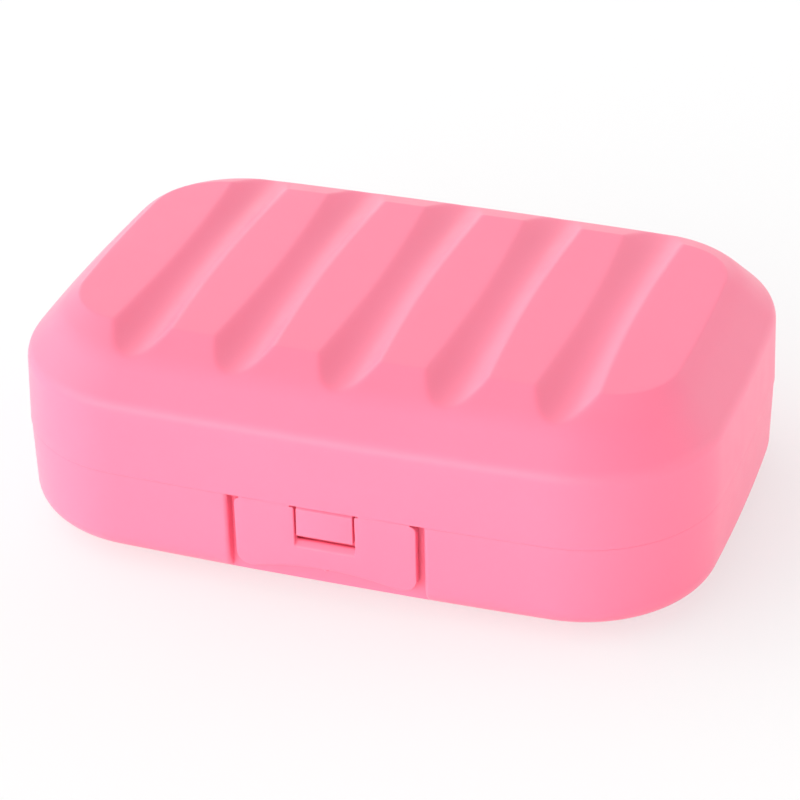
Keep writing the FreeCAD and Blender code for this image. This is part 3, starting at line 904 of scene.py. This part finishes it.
class SOAPBOX_OT_base(bpy.types.Operator):
    """Make the base shell with its lip, latch recess and catch"""
    bl_idname = "soapbox.base"
    bl_label = "Base"

    def execute(self, context):
        box = context.scene.soap_box
        outside, lip, inside = base_rings(box)
        rows = [recessed_loop(ring, box, 0) for ring in outside]
        rows += [recessed_loop(ring, box, box.base.lip_set_back) for ring in lip]
        rows += [recessed_loop(ring, box, box.shell.wall) for ring in inside]
        points, faces = shell_arrays(rows)[:2]
        work = bmesh.new()
        work.from_mesh(mesh_from("base_shell_only", points, faces))
        add_catch(work, box)
        mesh = smoothed(mesh_of(work, "base"))
        add_piece("base", mesh, satin_plastic(box.finish), "base", ["base_shell"])
        return {"FINISHED"}


# A rib's top edges are rounded to just under half its width, so that a flat is left between them
RIB_ROUND_SHARE = 0.98


class SOAPBOX_OT_ribs(bpy.types.Operator):
    """Make the ribs that hold the soap off the floor"""
    bl_idname = "soapbox.ribs"
    bl_label = "Soap ribs"

    def execute(self, context):
        box = context.scene.soap_box
        base, wall = box.base, box.shell.wall
        half = base.rib_width / 2
        top = wall + base.rib_height
        edge = half * RIB_ROUND_SHARE
        corners = [(-half, wall / 2, 0), (half, wall / 2, 0), (half, top, edge), (-half, top, edge)]
        reach = base.rib_length / 2
        work = bmesh.new()
        add_bar(work, rounded_outline(corners), -reach, reach, base.rib_end_round)
        bmesh.ops.rotate(work, verts=work.verts, matrix=Matrix.Rotation(math.pi / 2, 3, "Z"))
        plastic = satin_plastic(box.finish)
        mesh = row_of_copies(mesh_of(work, "soap_ribs"), base.rib_count, base.rib_pitch, plastic)
        add_piece("soap_ribs", smoothed(mesh), plastic, "base")
        return {"FINISHED"}


# Latch

def skin_y(box):
    """A function that gives the plane of the base's leaning, bowed front wall, y for x and z."""
    shell, base = box.shell, box.base
    bow_radius = arcs_of(body_ring(shell, base.step, shell.parting)).side_radius

    def skin(x, z):
        inset = base.step + (shell.parting - z) * math.tan(base.draft)
        return inset - shell.width / 2 + bow_radius - np.sqrt(bow_radius ** 2 - x ** 2)

    return skin


def flap_outline(box):
    """The flap's (x, z) outline, evenly divided, and how much of the sill's bevel each point takes."""
    latch = box.latch
    half = latch.width / 2
    sill = box.shell.parting - latch.window_depth
    window = latch.window_width / 2
    span = latch.arch_span / 2
    arch_radius = (span ** 2 + latch.arch_rise ** 2) / (2 * latch.arch_rise)
    arch_z = latch.bottom + latch.arch_rise - arch_radius
    arch = []
    for x in np.linspace(-span, span, ARCH_POINTS):
        arch.append((x, arch_z + math.sqrt(arch_radius ** 2 - x ** 2), 0))
    corners = [(-half, latch.bottom, latch.corner_round)] + arch + [
        (half, latch.bottom, latch.corner_round),
        (half, latch.top, latch.top_round),
        (window, latch.top, latch.window_round),
        (window, sill, latch.window_round),
        (-window, sill, latch.window_round),
        (-window, latch.top, latch.window_round),
        (-half, latch.top, latch.top_round),
    ]
    rounded = rounded_outline(corners)
    points = []
    for here, following in zip(rounded, rounded[1:] + rounded[:1]):
        count = max(1, round((following - here).length / FLAP_SPACING))
        points += [here.lerp(following, step / count) for step in range(count)]
    outline = np.array(points)
    on_sill = np.abs(outline[:, 0]) < window + SAME_PLACE
    on_sill &= outline[:, 1] < sill + latch.window_round
    on_sill &= outline[:, 1] > sill - SAME_PLACE
    return outline, on_sill.astype(float)


def outward(outline):
    """The unit normals of a closed counter-clockwise outline."""
    along = np.roll(outline, -1, axis=0) - np.roll(outline, 1, axis=0)
    normal = np.column_stack((along[:, 1], -along[:, 0]))
    return normal / np.linalg.norm(normal, axis=1)[:, None]


# Filling an outline: the kind of result that keeps to its inside, the distance at which points
# join, and how far, in spacings, the grid stays from the outline
FILL_INSIDE = 1
JOIN_DISTANCE = MM / 1000
GRID_CLEARANCE = 0.6


def filled(outline, spacing):
    """Points and triangles that fill a closed (x, z) outline; its own points come first."""
    low = outline.min(axis=0)
    high = outline.max(axis=0)
    levels = np.arange(low[1], high[1], spacing)
    grid = [(x, z) for x in np.arange(low[0], high[0], spacing) for z in levels]
    clearance = spacing * GRID_CLEARANCE
    far = [p for p in grid if np.linalg.norm(outline - p, axis=1).min() > clearance]
    points = [Vector(p) for p in list(outline) + far]
    count = len(outline)
    border = [(i, (i + 1) % count) for i in range(count)]
    faces, origins = delaunay_2d_cdt(points, border, [], FILL_INSIDE, JOIN_DISTANCE)[2:4]
    number = {new: origin[0] for new, origin in enumerate(origins)}
    return np.array(points), [[number[v] for v in face] for face in faces]


def flap_mesh(box):
    """The flap: its face lies on the base's skin, with rounded edges and a bevelled window sill."""
    latch = box.latch
    skin = skin_y(box)
    outline, on_sill = flap_outline(box)
    normal = outward(outline)
    front_round, back_round = latch.edge_round, latch.back_round

    def row(inset, depth_of):
        """A loop round the flap: depth_of gives y for the face's y under each point."""
        flat = outline - normal * inset
        face_y = skin(flat[:, 0], flat[:, 1])
        y = depth_of(face_y)
        drop = np.clip(1 - (y - face_y) / latch.sill_bevel, 0, 1) * latch.sill_bevel * on_sill
        return np.column_stack((flat[:, 0], y, flat[:, 1] - drop))

    def edge_y(face, amount):
        """A y on the flap's flat edge, for an amount of 0 behind its front round to 1 at its back round."""
        return face + front_round + (latch.back - back_round - face - front_round) * amount

    rows = [row(back_round, lambda face: np.full(len(face), latch.back))]
    for amount in np.linspace(1, 0, FLAP_EDGE_POINTS):
        rows.append(row(0, lambda face: edge_y(face, amount)))
    for turn in np.linspace(0, math.pi / 2, FLAP_ROUND_POINTS)[1:]:
        inset = front_round * (1 - math.cos(turn))
        rows.append(row(inset, lambda face: face + front_round * (1 - math.sin(turn))))
    count = len(outline)
    points = np.vstack(rows)
    numbers = np.arange(len(points)).reshape(len(rows), count)
    faces = band_faces(numbers).tolist()
    back_and_front = ((numbers[0], lambda x, z: np.full(len(x), latch.back), -1), (numbers[-1], skin, 1))
    for own, y_of, order in back_and_front:
        flat, triangles = filled(points[own][:, [0, 2]], FLAP_SPACING)
        x, z = flat[count:].T
        start = len(points)
        points = np.vstack((points, np.column_stack((x, y_of(x, z), z))))
        for triangle in triangles:
            corners = [own[v] if v < count else start + v - count for v in triangle]
            faces.append(corners[::order])
    return mesh_from("flap", points, faces)


def gate_mesh(box):
    """The nub that the mould's gate left in the middle of the finger arch, as a small ball."""
    latch = box.latch
    z = latch.bottom + latch.arch_rise
    centre = (0, float(skin_y(box)(0, z)) + latch.gate_radius, z)
    turns = np.arange(GATE_SIDES) * 2 * math.pi / GATE_SIDES
    rows = []
    for rise in np.linspace(-math.pi / 2, math.pi / 2, GATE_BANDS + 1)[1:-1]:
        level = np.full(GATE_SIDES, math.tan(rise))
        rows.append(np.column_stack((np.cos(turns), np.sin(turns), level)) * math.cos(rise))
    points = np.vstack(rows + [(0, 0, -1), (0, 0, 1)]) * latch.gate_radius + centre
    numbers = np.arange(len(rows) * GATE_SIDES).reshape(len(rows), GATE_SIDES)
    faces = band_faces(numbers).tolist()
    low_pole = numbers.size
    high_pole = low_pole + 1
    faces += [(low_pole, b, a) for a, b in zip(numbers[0], np.roll(numbers[0], -1))]
    faces += [(high_pole, a, b) for a, b in zip(numbers[-1], np.roll(numbers[-1], -1))]
    return mesh_from("gate", points, faces)


class SOAPBOX_OT_flap(bpy.types.Operator):
    """Make the latch flap with its finger arch and window"""
    bl_idname = "soapbox.flap"
    bl_label = "Latch flap"

    def execute(self, context):
        box = context.scene.soap_box
        work = bmesh.new()
        work.from_mesh(flap_mesh(box))
        bmesh.ops.recalc_face_normals(work, faces=work.faces)
        work.from_mesh(gate_mesh(box))
        mesh = smoothed(mesh_of(work, "latch_flap_moulding"))
        plastic = satin_plastic(box.finish)
        add_piece("latch_flap_moulding", mesh, plastic, "latch", ["latch_flap"])
        return {"FINISHED"}


class SOAPBOX_OT_films(bpy.types.Operator):
    """Make the two strips of the film hinge between lid and flap"""
    bl_idname = "soapbox.films"
    bl_label = "Film hinge"

    def execute(self, context):
        box = context.scene.soap_box
        for side in ("left", "right"):
            low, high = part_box("latch_film_" + side)
            points = []
            for amount in np.linspace(0, 1, FILM_POINTS):
                waist = math.sin(math.pi * amount)
                thickness = (high.y - low.y) * (1 - waist) + box.latch.film_waist * waist
                z = low.z + (high.z - low.z) * amount
                back = low.y + thickness
                points += [(low.x, low.y, z), (high.x, low.y, z), (high.x, back, z), (low.x, back, z)]
            numbers = np.arange(len(points)).reshape(-1, 4)
            faces = [*band_faces(numbers), numbers[0][::-1], numbers[-1]]
            mesh = smoothed(mesh_from("film_" + side, points, faces))
            film = add_piece("film_" + side, mesh, satin_plastic(box.finish),
                             nodes=["latch_film_" + side])
            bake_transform(film)
        return {"FINISHED"}


# Hinge

HINGE_PLACES = 2


def knuckle_outline(box, up):
    """A round knuckle with a web to its wall, as a (y, z) outline: up is 1 on the lid, -1 on the base."""
    shell, hinge = box.shell, box.hinge
    radius = hinge.knuckle_radius
    root = shell.width / 2 - shell.wall / 2 - hinge.axis_y
    near = hinge.web_rim_gap
    far = hinge.web_reach
    touch = math.atan2(far, root) - math.acos(radius / math.hypot(far, root))
    leave = math.pi - math.asin(near / radius) - 2 * math.pi
    turns = np.linspace(touch, leave, CIRCLE_STEPS)
    local = [(radius * math.cos(t), radius * math.sin(t)) for t in turns] + [(root, near), (root, far)]
    return [Vector((hinge.axis_y + y, shell.parting + up * z)) for y, z in local]


def hinge_row(name, box, outline, spans, edge_round, material, bore=()):
    """Bars of one outline over spans of X, made once and set at both hinge places."""
    work = bmesh.new()
    for low, high in spans:
        add_bar(work, outline, low, high, edge_round, bore)
    return smoothed(row_of_copies(mesh_of(work, name), HINGE_PLACES, box.hinge.spacing, material))


class SOAPBOX_OT_hinge(bpy.types.Operator):
    """Make the rear hinge: knuckles on the lid, ears on the base and their pins"""
    bl_idname = "soapbox.hinge"
    bl_label = "Hinge"

    def execute(self, context):
        box = context.scene.soap_box
        hinge = box.hinge
        plastic = satin_plastic(box.finish)
        steel = drawn_steel(box.finish)
        axis = (hinge.axis_y, box.shell.parting)
        pin = circle(axis, hinge.pin_radius)
        bore = circle(axis, hinge.pin_radius + hinge.bore_clearance)

        half = hinge.knuckle_length / 2
        mesh = hinge_row("lid_knuckles", box, knuckle_outline(box, 1), [(-half, half)],
                         hinge.edge_round, plastic, bore)
        add_piece("lid_knuckles", mesh, plastic, "lid")

        near = half + hinge.ear_gap
        far = near + hinge.ear_length
        mesh = hinge_row("base_ears", box, knuckle_outline(box, -1), [(-far, -near), (near, far)],
                         hinge.edge_round, plastic, pin)
        add_piece("base_ears", mesh, plastic, "base")

        half = hinge.pin_length / 2
        mesh = hinge_row("hinge_pins", box, pin, [(-half, half)], hinge.pin_round, steel)
        nodes = ["hinge_pin_left", "hinge_pin_right"]
        add_piece("hinge_pins", mesh, steel, "base", nodes)
        return {"FINISHED"}


# Studio

SENSOR_WIDTH = 36
SkyLight = namedtuple("SkyLight", "azimuth elevation narrowness strength")
SoftBox = namedtuple("SoftBox", "name azimuth elevation distance width height watts")

# Soft lights in the sky, round the horizon and above. Angles are in degrees, and azimuths run from
# the box's right end to its back. Narrowness is the power of the cosine by which a light falls off.
SKY_LIGHTS = (
    SkyLight(0, 2, 14, 1.9),
    SkyLight(40, 2, 14, 5.6),
    SkyLight(90, 6, 10, 1.2),
    SkyLight(135, 6, 10, 1.2),
    SkyLight(180, 6, 10, 2.5),
    SkyLight(225, 4, 10, 4.4),
    SkyLight(270, 4, 10, 3.3),
    SkyLight(315, 6, 10, 0.9),
    SkyLight(90, 45, 5, 0.5),
    SkyLight(135, 45, 5, 0.35),
    SkyLight(180, 45, 5, 1.1),
    SkyLight(225, 45, 5, 0.55),
    SkyLight(270, 45, 5, 0.05),
)

# Long soft boxes whose shine lies on the flutes' lips and on the crease, with the same angles
SOFT_BOXES = (
    SoftBox("rear_soft_box", 124, 17, 0.9, 0.4, 0.1, 0.22),
    SoftBox("front_soft_box", 253, 11, 0.9, 0.6, 0.2, 0.9),
)


def direction_to(azimuth, elevation):
    """The direction of a light, from its angles in degrees."""
    turn = math.radians(azimuth)
    rise = math.radians(elevation)
    return Vector((math.cos(turn) * math.cos(rise), math.sin(turn) * math.cos(rise), math.sin(rise)))


def add_soft_box(soft_box):
    """Hang an area lamp that faces the box."""
    light = bpy.data.lights.new(soft_box.name, "AREA")
    light.shape = "RECTANGLE"
    light.size = soft_box.width
    light.size_y = soft_box.height
    light.energy = soft_box.watts
    lamp = bpy.data.objects.new(soft_box.name, light)
    toward = direction_to(soft_box.azimuth, soft_box.elevation)
    lamp.location = toward * soft_box.distance
    lamp.rotation_euler = toward.to_track_quat("Z", "Y").to_euler()
    bpy.context.scene.collection.objects.link(lamp)


def backdrop_share(wire):
    """One for rays that see the backdrop: from the camera, in a gloss or through clear material."""
    path = wire.node("ShaderNodeLightPath")
    seen = [Wire(wire.tree, path.socket.node.outputs[name])
            for name in ("Is Camera Ray", "Is Glossy Ray", "Is Transmission Ray")]
    return wire.math("MAXIMUM", wire.math("MAXIMUM", seen[0], seen[1]), seen[2])


def light_sky(studio):
    """A soft sky for the light, and plain white where it is seen."""
    world = bpy.data.worlds.new("soft_sky")
    world.use_nodes = True
    tree = world.node_tree
    wire = Wire(tree)
    direction = wire.node("ShaderNodeTexCoord", output="Generated")
    level = wire.node("ShaderNodeValue")
    level.socket.default_value = studio.sky_level
    for light in SKY_LIGHTS:
        facing = wire.node("ShaderNodeVectorMath", {"operation": "DOT_PRODUCT"},
                           {0: direction, 1: direction_to(light.azimuth, light.elevation)}, output="Value")
        level = level + light.strength * wire.math("MAXIMUM", facing, 0.0) ** light.narrowness
    seen = backdrop_share(wire)
    background = tree.nodes["Background"]
    background.inputs["Color"].default_value = (1, 1, 1, 1)
    link(seen + (1 - seen) * level, background.inputs["Strength"])
    bpy.context.scene.world = world


def pale_floor(studio):
    """Pale floor material: it takes the box's shadow, lifted towards the background's white."""
    material, shader, wire = new_material("pale_floor")
    place = wire.node("ShaderNodeTexCoord", output="Object")
    grain = wire.noise(place, FLOOR_GRAIN_SCALE, CLOUD_DETAIL)
    shader.inputs["Base Color"].default_value = (*studio.floor_white, 1)
    shader.inputs["Specular IOR Level"].default_value = 0.0
    link(FLOOR_ROUGHNESS + FLOOR_ROUGHNESS_SPREAD * grain, shader.inputs["Roughness"])
    white = wire.node("ShaderNodeEmission", None, {"Strength": 1.0})
    lift = backdrop_share(wire) * studio.floor_lift
    surface = Wire(wire.tree, shader.outputs["BSDF"])
    mixed = wire.node("ShaderNodeMixShader", None, {0: lift, 1: surface, 2: white})
    link(mixed, material.node_tree.nodes["Material Output"].inputs["Surface"])
    return material


def add_floor(scene, studio):
    """Lay the floor just under the box."""
    half = studio.floor_size / 2
    corners = [(-half, -half), (half, -half), (half, half), (-half, half)]
    mesh = mesh_from("floor", [(x, y, -studio.floor_gap) for x, y in corners], [(0, 1, 2, 3)])
    mesh.materials.append(pale_floor(studio))
    floor = bpy.data.objects.new("floor", mesh)
    scene.collection.objects.link(floor)


def add_camera(scene, studio):
    """Set up the camera from its angles about the box, its distance and its aim."""
    reach = math.cos(studio.elevation)
    back = Vector((math.sin(studio.azimuth) * reach, -math.cos(studio.azimuth) * reach,
                   math.sin(studio.elevation)))
    level = Vector((math.cos(studio.azimuth), math.sin(studio.azimuth), 0))
    turn = Matrix.Rotation(studio.roll, 3, back)
    right = turn @ level
    up = turn @ back.cross(level)
    place = back * studio.distance + right * studio.aim_right + up * studio.aim_up
    place.z += studio.aim_height
    camera = bpy.data.cameras.new("camera")
    camera.sensor_width = SENSOR_WIDTH
    camera.lens = studio.lens
    viewer = bpy.data.objects.new("camera", camera)
    axes = Matrix((right, up, back)).transposed()
    viewer.matrix_world = Matrix.Translation(place) @ axes.to_4x4()
    scene.collection.objects.link(viewer)
    scene.camera = viewer


class SOAPBOX_OT_stage(bpy.types.Operator):
    """Make the floor, the light and the camera"""
    bl_idname = "soapbox.stage"
    bl_label = "Stage"

    def execute(self, context):
        scene = context.scene
        studio = scene.soap_box.studio
        add_floor(scene, studio)
        light_sky(studio)
        for soft_box in SOFT_BOXES:
            add_soft_box(soft_box)
        add_camera(scene, studio)
        scene.view_settings.view_transform = "Standard"
        return {"FINISHED"}


# Add-on

class SOAPBOX_PT_panel(bpy.types.Panel):
    """Sidebar panel with the soap box's pieces and settings"""
    bl_idname = "SOAPBOX_PT_panel"
    bl_label = "Soap box"
    bl_space_type = "VIEW_3D"
    bl_region_type = "UI"
    bl_category = "Soap box"

    def draw(self, context):
        layout = self.layout
        for operator in OPERATORS:
            layout.operator(operator.bl_idname)
        box = context.scene.soap_box
        for group_name in box.__annotations__:
            group = getattr(box, group_name)
            column = layout.column(heading=group_name.capitalize())
            for name in group.__annotations__:
                column.prop(group, name)


GROUPS = (ShellSizes, LidSizes, BaseSizes, LatchSizes, HingeSizes, Finishes, Studio, SoapBoxSettings)
OPERATORS = (SOAPBOX_OT_base, SOAPBOX_OT_ribs, SOAPBOX_OT_lid, SOAPBOX_OT_flap, SOAPBOX_OT_films,
             SOAPBOX_OT_hinge, SOAPBOX_OT_stage)
CLASSES = GROUPS + OPERATORS + (SOAPBOX_PT_panel,)


def register():
    for cls in CLASSES:
        bpy.utils.register_class(cls)
    bpy.types.Scene.soap_box = PointerProperty(type=SoapBoxSettings)


def unregister():
    del bpy.types.Scene.soap_box
    for cls in reversed(CLASSES):
        bpy.utils.unregister_class(cls)


def main():
    register()
    bpy.ops.soapbox.base()
    bpy.ops.soapbox.ribs()
    bpy.ops.soapbox.lid()
    bpy.ops.soapbox.flap()
    bpy.ops.soapbox.films()
    bpy.ops.soapbox.hinge()
    bpy.ops.soapbox.stage()


if __name__ == "__main__":
    main()
